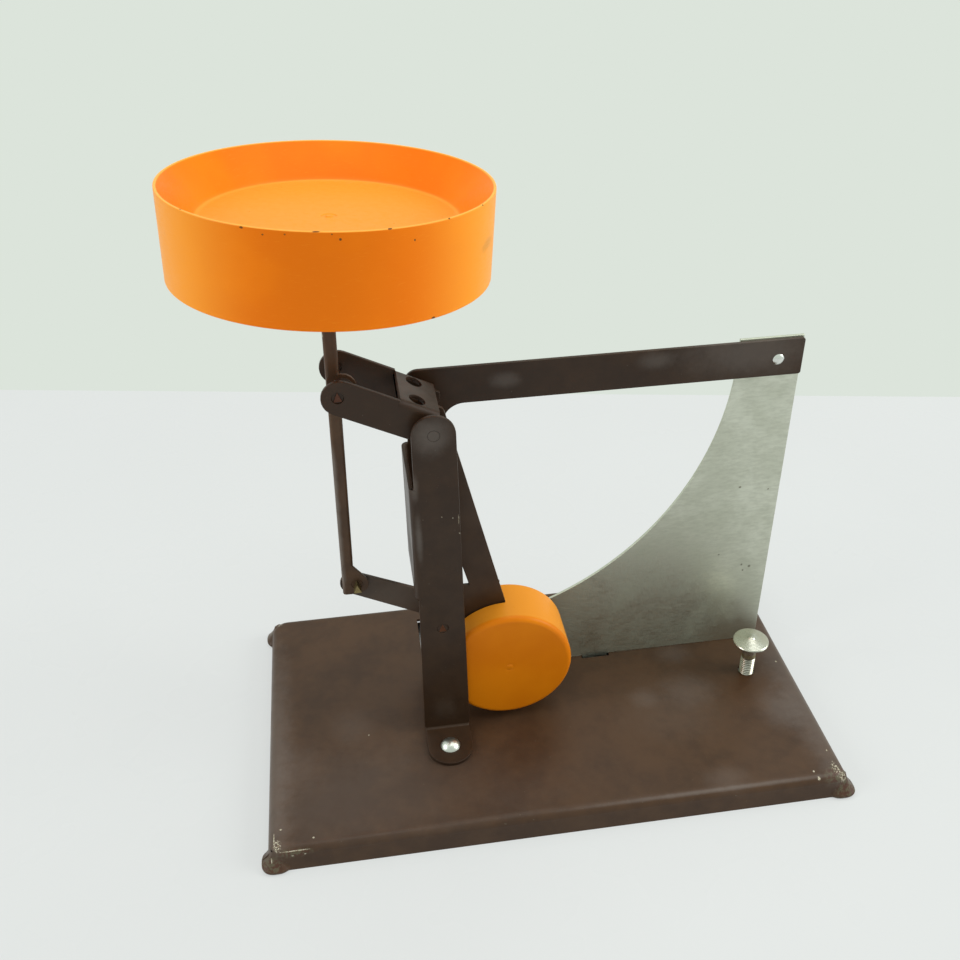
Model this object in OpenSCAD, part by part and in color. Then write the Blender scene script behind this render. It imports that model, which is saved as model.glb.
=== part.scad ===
// Pendulum scale: a parallelogram pan balance that reads on a swinging disc weight.
// X runs along the base towards the scale plate, Y away from the front, Z up.
// The origin lies on the table under the middle of the whole scale.

/* [Base] */
// Length of the base to the left of the pillar pivots
base_left = 70.2; // [62:0.2:80]
// Length of the base to the right of the long arm
base_right = 7; // [5:0.5:20]
// Width of the base along Y
base_w = 126; // [116:1:140]
// Height of the base top above the table
base_h = 10; // [9:0.5:14]
// Thickness of the pressed base sheet
base_t = 1.2; // [1:0.1:1.6]
// Radius of the rounded base edge
edge_r = 3.5; // [2:0.5:5]
// Radius of each corner foot
foot_r = 5.5; // [4:0.5:7]

/* [Pillar] */
// Sheet thickness of the pillar, the beam and the pendulum arm
sheet = 1.5; // [1:0.1:1.8]
// Width of the front plate at its round top
post_w = 15.4; // [14:0.2:18]
// Width of the front plate at its foot
post_foot_w = 18.4; // [16:0.2:22]
// Depth of the pillar over both plates
post_d = 33.1; // [31:0.1:40]
// Height of the pillar web above the lower knife edge
web_clear = 13; // [12.5:0.5:16]
// Drop of the pillar web below the main knife edge
web_drop = 23.5; // [22:0.5:40]
// Rise of the long arm's top edge above the main knife edge
arm_rise = 6.5; // [5.5:0.1:10]
// Depth of the long arm
arm_d = 15; // [12:0.5:18]

/* [Linkage] */
// Height of the main knife edge
main_z = 152.5; // [140:0.5:170]
// Height of the lower knife edge over the top of the resting disc
link_rise = 2.9; // [2:0.1:6]
// Distance between the knife edges of the beam and of the link
arm_len = 34.2; // [30:0.2:38]
// Slope of beam and link at no load
rest_slope = 26.4; // [22:0.2:30]
// Radius of the round hole that holds a knife edge
knife_r = 2.1; // [1.8:0.05:2.2]
// Half of the knife edge's apex angle
knife_half = 22; // [18:1:24]
// Radius of the bearing hole that rides on a knife edge
bearing_r = 3.55; // [3.4:0.05:3.7]
// Width of the beam over its cheeks
beam_w = 23.7; // [20:0.1:24.5]
// Half height of the beam cheeks
beam_r = 6.4; // [6:0.1:7]
// Half height of the link strap
link_r = 5.6; // [5.4:0.1:6.2]
// Radius of the link's end at the stem
link_end_r = 4.9; // [4.7:0.1:5.4]

/* [Pendulum] */
// Angle of the pendulum from the vertical at no load
swing_rest = 13.8; // [12:0.2:16]
// Clearance of the disc above the base at the low stop
disc_gap = 3; // [2:0.5:8]
// Radius of the orange disc
disc_r = 25.3; // [22:0.1:26]
// Depth of the orange disc
disc_d = 19.8; // [18:0.2:22]
// Wall of the disc cover
disc_wall = 2.2; // [1.6:0.1:2.6]
// Thickness of the steel core behind the arm
core_back = 2.3; // [1.6:0.1:6.4]
// Thickness of the steel core in front of the arm
core_front = 2.1; // [1.6:0.1:7]

/* [Scale plate] */
// Distance of the concave reading edge outside the swing of the disc centre
edge_out = 2; // [1:0.5:6]
// Width of the plate at its top
plate_neck = 24.8; // [20:0.2:30]
// Thickness of the aluminium plate
plate_t = 1.2; // [1:0.1:1.4]
// Height that the plate shows above the arm
plate_peek = 0.6; // [0.4:0.1:2]

/* [Pan] */
// Outer radius at the rim
pan_r = 51; // [44:0.5:54]
// Height of the rim above the main knife edge
pan_rise = 81.9; // [76:0.1:95]
// Lean of the dish on its stem, down to the right
lean_side = 3.7; // [0:0.1:4]
// Lean of the dish on its stem, down to the rear
lean_back = 3; // [0:0.1:3.5]
// Height of the outer skirt
pan_h = 28.3; // [22:0.5:30]
// Depth of the dish below the rim
dish_d = 11.1; // [8:0.5:14]
// Radius of the flat dish floor
floor_r = 40.5; // [34:0.5:42]
// Wall of the pan
pan_wall = 1.8; // [1.4:0.1:2.2]

/* [Stem] */
// Width of the stem channel
stem_w = 4.6; // [4:0.1:5.5]
// Depth of the stem channel
stem_d = 4.5; // [4:0.1:6]
// Sheet thickness of the stem
stem_t = 1.2; // [1:0.1:1.4]
// Lean of the stem, its top to the right
stem_lean = 1.4; // [0:0.1:2]

/* [Levelling screw] */
// Distance of the screw from the right end of the base
screw_inset = 18.1; // [12:0.2:24]
// Y of the screw
screw_y = -0.8; // [-20:0.1:0]
// Radius of the shank
screw_r = 3; // [2:0.1:3]
// Radius of the head
head_r = 7.4; // [5:0.1:8]

/* [Hidden] */

// Running gap between a shank and its bore
fit = 0.05;
// Gap between a rivet and its hole
rivet_gap = 0.02;

// Y faces of the pillar: the front plate, the rear plate and what lies behind it
front_y = -13.8;
rear_y = front_y + post_d - sheet;
behind_y = rear_y + sheet;
bend_in = 1;
bend_out = bend_in + sheet;

// The disc clears the base by its gap at the low stop, and all lengths follow from its swing
low_stop = 3;
swing_start = swing_rest - 0.6;
swing_r = (main_z - base_h - disc_r - disc_gap) / cos(swing_start - low_stop);
reading_r = swing_r + edge_out;
post_to_end = reading_r + plate_neck;
base_l = base_left + post_to_end + base_right;
post_x = base_left - base_l / 2;
arm_end = post_x + post_to_end;
arm_top = main_z + arm_rise;
lower_z = base_h + disc_gap + 2 * disc_r + link_rise;
web_x = post_x - 9.5;
web_low = lower_z + web_clear;
web_high = main_z - web_drop;

// The beam lies in the middle of the channel
mid_y = (front_y + behind_y) / 2 - 0.35;
beam_y = mid_y - beam_w / 2;
stem_y = mid_y - 2.85;
link_y = mid_y - sheet / 2;
arm_y = mid_y - 3.55;

// Knife edges, as places in the XZ plane
main_pivot = [post_x, main_z];
lower_pivot = [post_x, lower_z];
reach = arm_len * [-cos(rest_slope), sin(rest_slope)];
stem_top_pivot = main_pivot + reach;
stem_low_pivot = lower_pivot + reach;

// A bearing hole hangs to one side of its knife edge, and faces it at mid swing
bearing_lag = 30;
// Offset of a hole that turns round a fixed knife edge
turning_bearing = (bearing_r - fit) * [-sin(bearing_lag), -cos(bearing_lag)];
// Offset of a hole that stays while the knife edge turns in it
still_bearing = (bearing_r - fit) * [sin(bearing_lag), -cos(bearing_lag)];

disc_centre = main_pivot + swing_r * [sin(swing_start), -cos(swing_start)];
disc_y = arm_y - 10.75;
foot_reach = 18.5;
foot_w = 16;
foot_h = 20.5;
foot_top = 34.5;
slot_w = 6.1;

// Middle of the beam cheeks and of the link strap below the line of their knife edges
cheek_drop = 1.9;
cheek_short = 1.8;
link_drop = 3.5;

// The dish leans on its stem; its own axis starts in the middle of the rim
pan_c = [stem_top_pivot[0] + 3.74, mid_y, main_z + pan_rise];
pan_axis = [cos(lean_back) * sin(lean_side), sin(lean_back), cos(lean_back) * cos(lean_side)];
low_r = pan_r - 0.4;
boss_r = 9.5;
boss_h = 14;
rim_w = 2.1;
ear_r = 4.9;
low_ear_r = 4.4;

// The stem leans, and its heights count from the lower knife edge
stem_inset = 3.25;
stem_low = -6.7;
stem_high = pan_c[2] - pan_h + 6 - stem_low_pivot[1];
stem_ear = stem_top_pivot[1] - stem_low_pivot[1];

window_w = 11;
window_x = post_x - 5.9;
window_d = 37;
tongue_h = window_d - bend_out - 1;
foot_rivet_y = front_y - 10.1;
tab_x = arm_end - 79;
tab_w = 11.4;
tab_drop = 5;
nose_h = 28;
plate_left = arm_end - 120;
foot_out = 5.1;
foot_side = 2.9;
rivet_r = 2;
plate_rivet_r = 1.5;
plate_rivet_at = [arm_end - 9.6, arm_top - arm_d / 2 - 0.6];
tongue_rivet_at = [post_x + 0.3, base_h + 20];

// Hand behind the plate: how far it starts inside and ends outside the reading edge
hand_in = 12.6;
hand_out = 7;
hand_t = 0.8;

// Heights on the levelling screw
screw_x = base_l / 2 - screw_inset;
pitch = 1;
thread_low = 2;
thread_turns = 20;
thread_d = 0.5;
collar_low = 24;
collar_h = 1.8;
collar_r = 3.7;
head_low = collar_low + collar_h;
head_h = 4;

// Points along an arc from angle a to angle b
function arc(c, r, a, b, n = 10) =
    [for (i = [0:n]) c + r * [cos(a + (b - a) * i / n), sin(a + (b - a) * i / n)]];

// Outline round two circles and their outer tangents
function strap(c1, r1, c2, r2, n = 14) =
    let (d = c2 - c1, turn = atan2(d[1], d[0]), open = acos((r1 - r2) / norm(d)))
    concat(arc(c1, r1, turn + open, turn + 360 - open, n), arc(c2, r2, turn - open, turn + open, n));

// Triangle of a knife edge, inscribed in its hole, with the apex at p
function knife_outline(p) =
    let (side = 2 * (knife_r - rivet_gap) * cos(knife_half))
    [p, p + side * [-sin(knife_half), -cos(knife_half)], p + side * [sin(knife_half), -cos(knife_half)]];

// Sheet that lies in the XZ plane, from y to y + t
module upright(y, t) {
    translate([0, y + t, 0]) rotate([90, 0, 0]) linear_extrude(t) children();
}

// Round hole along Y through everything between two faces
module cross_hole(at, r, y1 = -60, y2 = 60) {
    translate([at[0], y2, at[1]]) rotate([90, 0, 0]) cylinder(r = r, h = y2 - y1, $fn = 48);
}

// Outline in the YZ plane, drawn out along X
module along_x(x, length) {
    translate([x, 0, 0]) rotate([90, 0, 90]) linear_extrude(length) children();
}

module knife(p, y1, y2) {
    color("peru") upright(y1, y2 - y1) polygon(knife_outline(p));
}

// Snap-headed rivet along +Z: head on top of z = 0, closing head below the grip
module rivet(snap_r, snap_h, grip, tail_r, tail_h, r = rivet_r) {
    dome = (snap_r * snap_r + snap_h * snap_h) / (2 * snap_h);
    rotate_extrude($fn = 48) polygon(concat(
        [[0, -grip - tail_h], [tail_r, -grip - tail_h], [tail_r, -grip], [r, -grip], [r, 0]],
        [for (i = [0:8]) let (a = asin(snap_r / dome) * (1 - i / 8)) [dome * sin(a), snap_h - dome * (1 - cos(a))]]
    ));
}

// Post with a round top edge, that ends exactly at its height
module round_post(r, top) {
    rotate_extrude($fn = 32) polygon(concat([[0, 0], [r, 0]], arc([0, top - r], r, 0, 90, 6)));
}

module base_block(l, w, top, r) {
    hull() for (x = [-1, 1], y = [-1, 1])
        translate([x * (l / 2 - r), y * (w / 2 - r), 0]) round_post(r, top);
}

module base_tray() {
    color([0.29, 0.22, 0.19]) {
        difference() {
            union() {
                base_block(base_l, base_w, base_h, edge_r);
                for (x = [-1, 1], y = [-1, 1]) corner_foot(x, y);
            }
            base_block(base_l - 2 * base_t, base_w - 2 * base_t, base_h - base_t, edge_r - base_t);
            translate([post_x, foot_rivet_y, 0]) cylinder(r = rivet_r + rivet_gap, h = 30, $fn = 48);
            translate([screw_x, screw_y, 0]) cylinder(r = screw_r + 0.4, h = 30, $fn = 48);
            translate([window_x, behind_y - bend_in, 5]) cube([window_w, window_d, 10]);
            translate([tab_x - 0.4, rear_y, 5]) cube([tab_w + 0.8, plate_t + sheet + 0.3, 10]);
        }
        tongue();
    }
}

// Ear flared out of a base corner, round at its lip and hollow above it
module corner_foot(x, y) {
    lip = 1.2;
    throat = foot_r - 2.6;
    out = base_l / 2 - foot_r + foot_out;
    side = base_w / 2 - foot_r + foot_side;
    translate([x * out, y * side, 0]) rotate_extrude($fn = 40) polygon(concat(
        [[0, 0]], arc([foot_r - lip, lip], lip, -90, 60, 6), arc([foot_r, 5.4], foot_r - throat, 250, 180, 6), [[0, 5.4]]
    ));
}

// Tongue lanced out of the base and bent up behind the rear plate
module tongue() {
    centre = [behind_y - bend_in, base_h + bend_in];
    width = window_w - 0.6;
    difference() {
        along_x(window_x + 0.3, width) polygon(concat(
            [[centre[0] - 0.5, base_h], [centre[0] - 0.5, base_h - base_t]],
            arc(centre, bend_in + base_t, 270, 360, 8),
            [[behind_y + base_t, base_h + tongue_h], [behind_y, base_h + tongue_h]],
            arc(centre, bend_in, 360, 270, 8)
        ));
        cross_hole(tongue_rivet_at, rivet_r + rivet_gap);
    }
}

module pillar_frame() {
    color([0.24, 0.19, 0.17]) difference() {
        union() {
            upright(front_y, sheet) polygon(front_outline());
            foot_tab();
            pillar_web();
            upright(rear_y, sheet) polygon(rear_outline());
        }
        cross_hole(main_pivot - [0, knife_r], knife_r);
        cross_hole(lower_pivot - [0, knife_r], knife_r);
        cross_hole(plate_rivet_at, plate_rivet_r + rivet_gap);
        cross_hole(tongue_rivet_at, rivet_r + rivet_gap, rear_y - 1, behind_y + 1);
    }
}

function front_outline() =
    let (low = base_h + bend_out, side = post_w / 2, foot = post_foot_w / 2)
    concat(
        [[post_x - foot, low], [post_x + foot, low]],
        arc([post_x, main_z - 2.1], side, 0, 180, 24),
        [
            [post_x - side, web_high], [web_x + bend_out, web_high],
            [web_x + bend_out, web_low], [post_x - side - 0.6, web_low]
        ]
    );

// The rear plate turns into the long arm at its top
function rear_outline() =
    let (right = post_x + 6.4, arm_low = arm_top - arm_d, fillet = 8, corner = 5, cut = 0.6)
    concat(
        [[post_x - 6.6, base_h + bend_in], [right, base_h + bend_in]],
        arc([right + fillet, arm_low - fillet], fillet, 180, 90),
        [[arm_end - cut, arm_low], [arm_end, arm_low + cut], [arm_end, arm_top - cut], [arm_end - cut, arm_top]],
        arc([web_x + bend_out + corner, arm_top - corner], corner, 90, 180),
        [[web_x + bend_out, web_low], [post_x - 6.6, web_low]]
    );

// Foot of the front plate, bent forward, with a round end
module foot_tab() {
    half = post_foot_w / 2 - 0.3;
    centre = [front_y - bend_in, base_h + bend_out];
    along_x(post_x - half, 2 * half) polygon(concat(
        [[front_y + sheet, base_h + bend_out + 0.5]],
        [[front_y, base_h + bend_out + 0.5]],
        arc(centre, bend_in, 360, 270, 8),
        arc(centre, bend_out, 270, 360, 8)
    ));
    difference() {
        translate([0, 0, base_h]) linear_extrude(sheet) polygon(concat(
            [[post_x + half, centre[0]], [post_x - half, centre[0]]],
            arc([post_x, foot_rivet_y - 0.6], half, 180, 360, 24)
        ));
        translate([post_x, foot_rivet_y, 0]) cylinder(r = rivet_r + rivet_gap, h = 40, $fn = 48);
    }
}

// Left side of the folded channel, with its two rounded bends
module pillar_web() {
    right = web_x + bend_out;
    translate([0, 0, web_low]) linear_extrude(web_high - web_low) polygon(concat(
        [[right + 0.5, front_y]],
        arc([right, front_y + bend_out], bend_out, 270, 180, 8),
        arc([right, behind_y - bend_out], bend_out, 180, 90, 8),
        [[right + 0.5, behind_y], [right + 0.5, rear_y]],
        arc([right, behind_y - bend_out], bend_in, 90, 180, 8),
        arc([right, front_y + bend_out], bend_in, 180, 270, 8),
        [[right + 0.5, front_y + sheet]]
    ));
}

module foot_rivet() {
    color("silver") translate([post_x, foot_rivet_y, base_h + sheet])
        rivet(3.9, 2.5, sheet + base_t, 3.2, 1.2);
}

module tongue_rivet() {
    color("silver") translate([tongue_rivet_at[0], rear_y, tongue_rivet_at[1]]) rotate([90, 0, 0])
        rivet(3, 1.2, sheet + base_t, 2.8, 0.9);
}

module main_knife() {
    knife(main_pivot, front_y + 0.2, behind_y - 0.2);
}

module lower_knife() {
    knife(lower_pivot, front_y + 0.2, behind_y - 0.2);
}

module scale_plate() {
    top = arm_top + plate_peek;
    nose = asin((main_z - base_h - nose_h) / reading_r);
    color([0.7, 0.72, 0.7]) difference() {
        upright(behind_y, plate_t) polygon(concat(
            [[plate_left, base_h], [tab_x, base_h], [tab_x, base_h - tab_drop], [tab_x + tab_w, base_h - tab_drop],
             [tab_x + tab_w, base_h], [arm_end, base_h], [arm_end, top], [post_x + reading_r, top]],
            arc(main_pivot, reading_r, 0, -nose, 40),
            [[plate_left, base_h + nose_h]]
        ));
        cross_hole(plate_rivet_at, plate_rivet_r + rivet_gap);
    }
}

module plate_rivet() {
    color("silver") translate([plate_rivet_at[0], rear_y, plate_rivet_at[1]]) rotate([90, 0, 0])
        rivet(2.2, 0.8, sheet + plate_t, 2.4, 0.8, plate_rivet_r);
}

// Round threaded bush pressed under the base
module screw_bush() {
    color("darkgray") translate([screw_x, screw_y, base_h - base_t - 5]) difference() {
        cylinder(r = 5.5, h = 5, $fn = 6);
        translate([0, 0, -1]) cylinder(r = screw_r + fit, h = 7, $fn = 48);
    }
}

// Frame of the beam at no load: x runs from the stem down to the main knife edge
module on_slope(p) {
    translate([p[0], 0, p[1]]) rotate([0, rest_slope, 0]) children();
}

module beam_yoke() {
    back = beam_r - cheek_drop;
    color([0.25, 0.2, 0.18]) difference() {
        on_slope(main_pivot) union() {
            beam_cheek(beam_y, back);
            beam_cheek(beam_y + beam_w - sheet, back);
            beam_web(back);
        }
        cross_hole(stem_top_pivot - [0, knife_r], knife_r);
        cross_hole(main_pivot + turning_bearing, bearing_r);
    }
}

// Cheek outline, with a straight stretch that meets the bend of the web
module beam_cheek(y, back) {
    upright(y, sheet) difference() {
        polygon(strap([-arm_len + cheek_short, -cheek_drop], beam_r, [-0.3, -cheek_drop], beam_r));
        translate([-13.4, back - bend_out]) square([20, 10]);
    }
}

// Top web between the cheeks, bent down into them, with its two round holes
module beam_web(back) {
    far_y = beam_y + beam_w;
    low = back - bend_out - 0.5;
    difference() {
        along_x(-13.4, 14.7) polygon(concat(
            [[beam_y, low]], arc([beam_y + bend_out, back - bend_out], bend_out, 180, 90, 8),
            arc([far_y - bend_out, back - bend_out], bend_out, 90, 0, 8), [[far_y, low]],
            [[far_y - sheet, low]], arc([far_y - bend_out, back - bend_out], bend_in, 0, 90, 8),
            arc([beam_y + bend_out, back - bend_out], bend_in, 90, 180, 8), [[beam_y + sheet, low]]
        ));
        for (side = [-1, 1])
            translate([-6.8, mid_y + side * 6.4, 0]) cylinder(r = 3, h = 20, $fn = 48);
    }
}

module beam_knife() {
    knife(stem_top_pivot, beam_y + 0.2, beam_y + beam_w - 0.2);
}

// Pendulum strap: head on the beam, wide foot in the slot of the disc
module pendulum_arm() {
    head = main_pivot + [-0.8, -2.3];
    color([0.24, 0.19, 0.17]) {
        difference() {
            upright(arm_y, sheet) {
                polygon(strap(head, 6.4, disc_centre, 5.4));
                translate([disc_centre[0] - foot_reach, disc_centre[1] + foot_top - foot_h]) square([foot_w, foot_h]);
            }
            cross_hole(main_pivot + turning_bearing, bearing_r);
            cross_hole(disc_centre, rivet_r + rivet_gap);
            on_slope(main_pivot) translate([-20, -20, beam_r - cheek_drop - sheet]) cube([40, 40, 20]);
        }
        arm_flange();
    }
}

// Flange of the arm, welded under the web between its two holes
module arm_flange() {
    left = 11;
    length = 9.5;
    width = 7;
    low = beam_r - cheek_drop - 2 * sheet;
    on_slope(main_pivot) translate([-left, arm_y, low]) cube([length, width, sheet]);
}

// Plastic cap pressed over both steel discs, with a slot for the foot of the arm
module disc_cover() {
    edge = 3;
    bore = disc_r - disc_wall;
    color("darkorange") difference() {
        translate([disc_centre[0], disc_y, disc_centre[1]]) rotate([-90, 0, 0]) rotate_extrude($fn = 72) polygon(concat(
            [[0, 0]],
            arc([disc_r - edge, edge], edge, -90, 0, 6),
            [[disc_r, disc_d], [bore, disc_d], [bore, disc_wall], [0, disc_wall]]
        ));
        translate([disc_centre[0] - disc_r, arm_y - 2.3, disc_centre[1] + 5]) cube([disc_r, slot_w, disc_r]);
    }
}

module weight_disc(y, t) {
    color("dimgray") difference() {
        translate([disc_centre[0], y, disc_centre[1]]) rotate([-90, 0, 0])
            cylinder(r = disc_r - disc_wall - 0.1, h = t, $fn = 72);
        cross_hole(disc_centre, rivet_r + rivet_gap);
    }
}

module weight_front() {
    weight_disc(arm_y - core_front, core_front);
}

module weight_back() {
    weight_disc(arm_y + sheet, core_back);
}

module weight_rivet() {
    color("silver") translate([disc_centre[0], arm_y - core_front, disc_centre[1]]) rotate([90, 0, 0])
        rivet(3.4, 1.4, core_front + sheet + core_back + 0.8, 3.2, 0.8);
}

// Hand that reaches back from the weight and points along the reading edge
module index_hand() {
    back = arm_y + sheet + core_back;
    tip_y = behind_y + plate_t + hand_t;
    inner = swing_r - reading_r + hand_in;
    outer = reading_r + hand_out - swing_r;
    color("firebrick") translate([disc_centre[0], 0, disc_centre[1]]) rotate([0, 180 - swing_start, 0]) {
        difference() {
            upright(back, hand_t) polygon(strap([0, 0], 5, [0, 2 - inner], 2.2));
            cross_hole([0, 0], rivet_r + rivet_gap, back - 1, back + 2);
        }
        translate([-1, back, -inner]) cube([2, tip_y - back + hand_t, hand_t]);
        upright(tip_y, hand_t) polygon([[-1, -inner], [1, -inner], [1.2, -4], [0.2, outer], [-0.2, outer], [-1.2, -4]]);
    }
}

// Frame of the leaning stem: x = 0 is its middle, z = 0 lies level with the lower knife edge
module on_stem() {
    translate([stem_mid(0)[0], 0, stem_low_pivot[1]]) rotate([0, stem_lean, 0]) children();
}

// Middle of the stem at a height above the lower knife edge, in the XZ plane
function stem_mid(h) = stem_low_pivot + [h * tan(stem_lean) - stem_inset, h];

module stem_channel() {
    top_ear = stem_top_pivot + still_bearing;
    low_ear = stem_low_pivot - [0, knife_r];
    inside = stem_y + stem_t;
    half = stem_w / 2;
    color([0.27, 0.22, 0.19]) difference() {
        union() {
            on_stem() translate([0, 0, stem_low]) linear_extrude(stem_high - stem_low) polygon(stem_section());
            upright(stem_y, stem_t) polygon(strap(top_ear, ear_r, stem_mid(stem_ear), 2));
            upright(stem_y, stem_t) polygon(strap(low_ear, low_ear_r, stem_mid(6), 2));
        }
        cross_hole(top_ear, bearing_r);
        cross_hole(low_ear, knife_r);
        on_stem() translate([stem_t + 0.6 - half, inside, stem_ear - 9]) cube([20, 20, 14]);
        on_stem() translate([-half - 5, inside, stem_low - 1]) cube([30, 20, 17]);
    }
}

// Section of the stem, open to the rear, with its two front corners rounded
function stem_section() =
    let (l = -stem_w / 2, r = stem_w / 2, f = stem_y, b = stem_y + stem_d, o = 1.4)
    concat(
        arc([l + o, f + o], o, 180, 270, 6), arc([r - o, f + o], o, 270, 360, 6),
        [[r, b], [r - stem_t, b], [r - stem_t, f + stem_t], [l + stem_t, f + stem_t], [l + stem_t, b], [l, b]]
    );

module stem_knife() {
    knife(stem_low_pivot, stem_y - 3.4, link_y + sheet + 1.6);
}

// Frame of the leaning dish: its origin is the middle of the rim
module on_lean() {
    translate(pan_c) rotate([-lean_back, lean_side, 0]) children();
}

module pan_dish() {
    boss_low = pan_h + boss_h;
    color("darkorange") difference() {
        on_lean() {
            rotate_extrude($fn = 96) polygon(pan_profile());
            translate([0, 0, -boss_low]) cylinder(r = boss_r, h = boss_low - dish_d - 1, $fn = 48);
        }
        on_stem() translate([-stem_w / 2 - fit, stem_y - fit, stem_high - 40])
            cube([stem_w + 2 * fit, stem_d + 2 * fit, 40]);
    }
}

// Half section of the dish below its rim: skirt, rim and curved wall down to the flat floor
function pan_profile() =
    concat(
        [[0, -dish_d - pan_wall]],
        [for (i = [8:-1:0]) dish_point(i, 0.9, pan_wall)],
        [[low_r - pan_wall, -pan_h], [low_r, -pan_h], [pan_r, -0.6], [pan_r - 0.6, 0]],
        [for (i = [0:10]) dish_point(i * 0.8, 0, 0)],
        [[0, -dish_d]]
    );

// Point on the curved wall, from the rim at i = 0 to the floor at i = 8
function dish_point(i, inset, drop) =
    let (end = 62, a = end * i / 8, run = (cos(a) - cos(end)) / (1 - cos(end)))
    [floor_r - inset + (pan_r - rim_w - floor_r) * run, -dish_d * sin(a) / sin(end) - drop];

module link_strap() {
    color([0.23, 0.2, 0.18]) difference() {
        on_slope(lower_pivot)
            upright(link_y, sheet) polygon(strap([-arm_len, -link_drop], link_end_r, [0, -link_drop], link_r));
        cross_hole(lower_pivot + turning_bearing, bearing_r);
        cross_hole(stem_low_pivot + turning_bearing, bearing_r);
    }
}

// Thumbscrew with a coned head, a knurled collar and thread rings
module levelling_screw() {
    grooves = 20;
    root = screw_r - thread_d;
    nub = 1.4;
    color("silver") translate([screw_x, screw_y, 0.2]) difference() {
        rotate_extrude($fn = 48) polygon(concat(
            [[0, 0], [root - 0.6, 0], [root, 0.9], [root, thread_low]],
            [for (i = [0:thread_turns - 1], k = [0:1]) [screw_r - thread_d * k, thread_low + pitch * (i + (k + 1) / 2)]],
            [[root, collar_low], [collar_r, collar_low], [collar_r, head_low], [head_r - 0.3, head_low + 0.4],
             [head_r, head_low + 0.8], [head_r, head_low + 1.2], [nub + 0.4, head_low + head_h - 0.9],
             [nub, head_low + head_h - 0.3], [nub - 0.6, head_low + head_h], [0, head_low + head_h]]
        ));
        for (i = [0:grooves - 1]) rotate([0, 0, 360 * i / grooves])
            translate([collar_r + 0.15, 0, collar_low - 1]) cylinder(r = 0.4, h = collar_h + 1, $fn = 16);
    }
}

// The whole scale stands with its middle over the origin
module stand() {
    pan_left = pan_c[0] - pan_h * pan_axis[0] - low_r * sqrt(1 - pan_axis[0] * pan_axis[0]);
    translate([-(pan_left + base_l / 2 + foot_out) / 2, 0, 0]) children();
}

stand() base_tray();
stand() pillar_frame();
stand() foot_rivet();
stand() tongue_rivet();
stand() main_knife();
stand() lower_knife();
stand() scale_plate();
stand() plate_rivet();
stand() screw_bush();
stand() beam_yoke();
stand() beam_knife();
stand() pendulum_arm();
stand() disc_cover();
stand() weight_front();
stand() weight_back();
stand() weight_rivet();
stand() index_hand();
stand() stem_channel();
stand() stem_knife();
stand() pan_dish();
stand() link_strap();
stand() levelling_screw();
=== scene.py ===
from math import asin, atan2, cos, exp, log, pi, radians, sin, sqrt

import bpy
from mathutils import Euler, Matrix, Vector
from mathutils.bvhtree import BVHTree


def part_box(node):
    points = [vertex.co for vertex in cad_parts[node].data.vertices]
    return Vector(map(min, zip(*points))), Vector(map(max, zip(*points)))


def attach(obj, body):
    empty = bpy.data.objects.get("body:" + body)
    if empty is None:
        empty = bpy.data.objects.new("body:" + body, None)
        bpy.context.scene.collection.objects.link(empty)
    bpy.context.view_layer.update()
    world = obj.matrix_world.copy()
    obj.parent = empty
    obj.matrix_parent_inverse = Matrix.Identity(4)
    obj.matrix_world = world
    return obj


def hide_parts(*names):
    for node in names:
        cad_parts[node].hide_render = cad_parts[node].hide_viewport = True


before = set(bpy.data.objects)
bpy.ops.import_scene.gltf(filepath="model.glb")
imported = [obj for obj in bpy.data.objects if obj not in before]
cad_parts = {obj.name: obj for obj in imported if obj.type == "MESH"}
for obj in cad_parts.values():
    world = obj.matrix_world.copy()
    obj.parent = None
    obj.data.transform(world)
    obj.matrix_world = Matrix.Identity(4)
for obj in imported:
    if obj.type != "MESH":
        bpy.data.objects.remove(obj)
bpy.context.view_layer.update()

mm = 0.001
print("frame loaded")

# Camera first: where the photograph was taken from, in mm and degrees
cameraSet = {"place": (-64.04, -319.5, 338.8), "yaw": 7.75, "pitch": 33.96, "roll": -1.14, "focalPixels": 1070,
             "imagePixels": 960, "sensor": 36}


def makeCamera():
    yaw, pitch, roll = (radians(cameraSet[k]) for k in ("yaw", "pitch", "roll"))
    right = Vector((cos(yaw), -sin(yaw), 0))
    ahead = Vector((sin(yaw) * cos(pitch), cos(yaw) * cos(pitch), -sin(pitch)))
    up = right.cross(ahead)
    tiltedRight = cos(roll) * right + sin(roll) * up
    tiltedUp = -sin(roll) * right + cos(roll) * up
    bpy.ops.object.camera_add()
    camera = bpy.context.object
    camera.name = "photoCamera"
    turn = Matrix((tiltedRight, tiltedUp, -ahead)).transposed().to_4x4()
    camera.matrix_world = Matrix.Translation(Vector(cameraSet["place"]) * mm) @ turn
    camera.data.sensor_width = cameraSet["sensor"]
    camera.data.lens = cameraSet["sensor"] * cameraSet["focalPixels"] / cameraSet["imagePixels"]
    camera.data.clip_start = 0.01
    bpy.context.scene.camera = camera


makeCamera()


def boxOf(node):
    # a node's lowest corner, highest corner and middle, in mm
    low, high = (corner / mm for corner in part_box(node))
    return low, high, (low + high) / 2


def knifeEdge(node):
    # X and Z of the line a knife edge turns on
    high, middle = boxOf(node)[1:]
    return (middle.x, high.z)


# how far the pressing's sides stand in from the base's box, how far its rear ears stand out of it, and its top
baseRim = {"left": 3.2, "right": 3.7, "front": 2.85, "rear": 0.6, "rearEars": 2.2, "top": 10.0}
# the middle of the pan's rim: right of the beam's tip, behind the stem's front, above the main pivot
panFrom = {"tip": 3.74, "stem": 2.85, "pivot": 81.9}
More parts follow.
